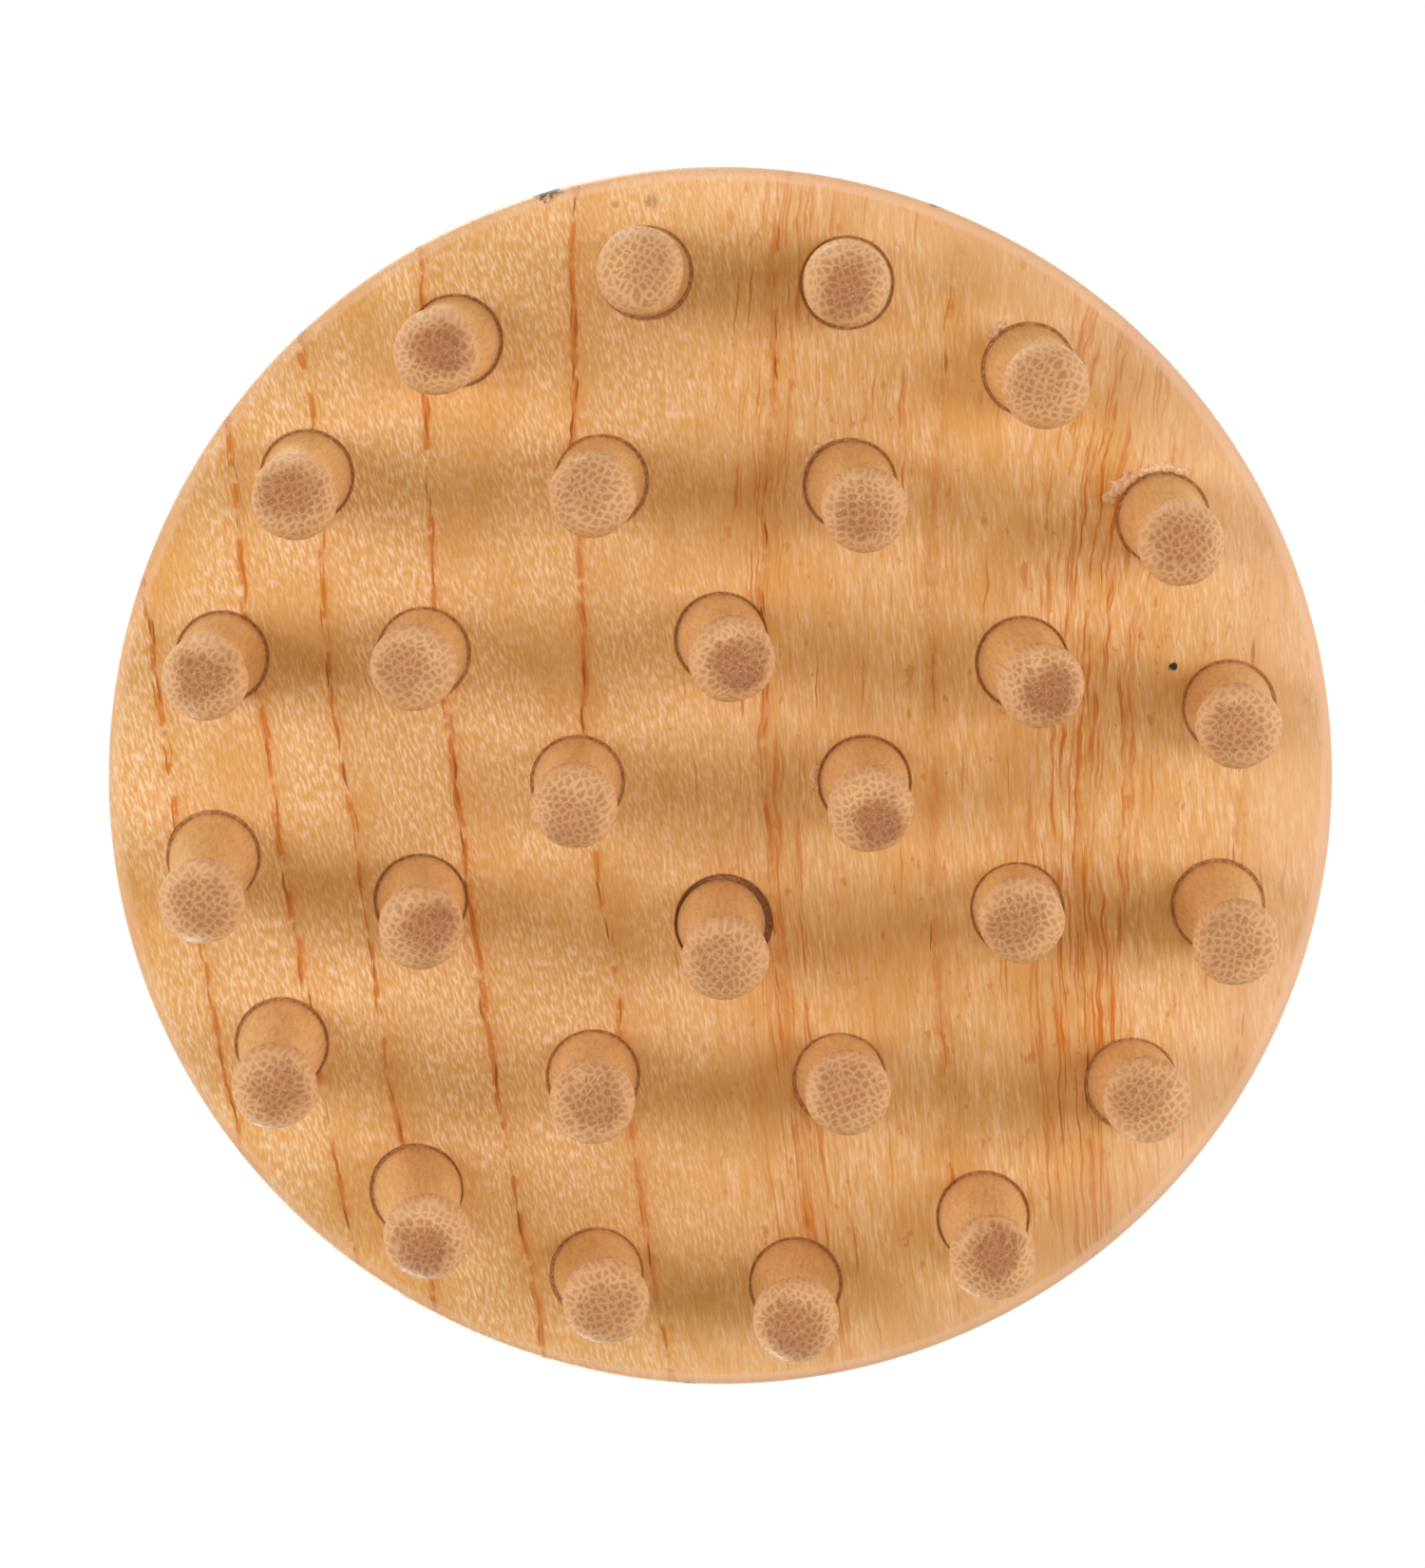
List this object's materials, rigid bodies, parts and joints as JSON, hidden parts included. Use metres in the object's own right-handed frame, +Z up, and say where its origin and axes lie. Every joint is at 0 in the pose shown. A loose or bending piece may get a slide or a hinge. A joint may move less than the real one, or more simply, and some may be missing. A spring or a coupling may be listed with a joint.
{
  "type": "scalp massager brush",
  "caption": "Palm-sized scalp massager: a domed pale wooden disc with rings of ball-tipped bamboo pegs underneath and a mushroom-shaped walnut knob on top to hold it by.",
  "frame": {"origin": "On the axis of the disc, in the plane of the ball tips, on which the massager stands.", "axes": "+Z up along the axis of the disc and the knob, from the ball tips to the top of the knob; -Y is the front and +X the right-hand side. The object is round, so front and right are told only by where the pegs stand: an inner peg stands on each of the row's X and Y directions."},
  "size_m": [0.1, 0.1, 0.0736],
  "materials": {
    "disc": "satin lacquer",
    "peg": "satin bamboo, end grain on the balls",
    "knob": "satin oiled walnut",
    "dowel": "plain beech, hidden"
  },
  "bodies": {
    "root": {"disc": "disc", "knob": "knob", "knob_dowel": "dowel", "peg_outer_01": "peg", "peg_outer_02": "peg", "peg_outer_03": "peg", "peg_outer_04": "peg", "peg_outer_05": "peg", "peg_outer_06": "peg", "peg_outer_07": "peg", "peg_outer_08": "peg", "peg_outer_09": "peg", "peg_outer_10": "peg", "peg_outer_11": "peg", "peg_outer_12": "peg", "peg_outer_13": "peg", "peg_outer_14": "peg", "peg_outer_15": "peg", "peg_outer_16": "peg", "peg_middle_01": "peg", "peg_middle_02": "peg", "peg_middle_03": "peg", "peg_middle_04": "peg", "peg_middle_05": "peg", "peg_middle_06": "peg", "peg_middle_07": "peg", "peg_middle_08": "peg", "peg_inner_01": "peg", "peg_inner_02": "peg", "peg_inner_03": "peg", "peg_inner_04": "peg"}
  },
  "joints": []
}
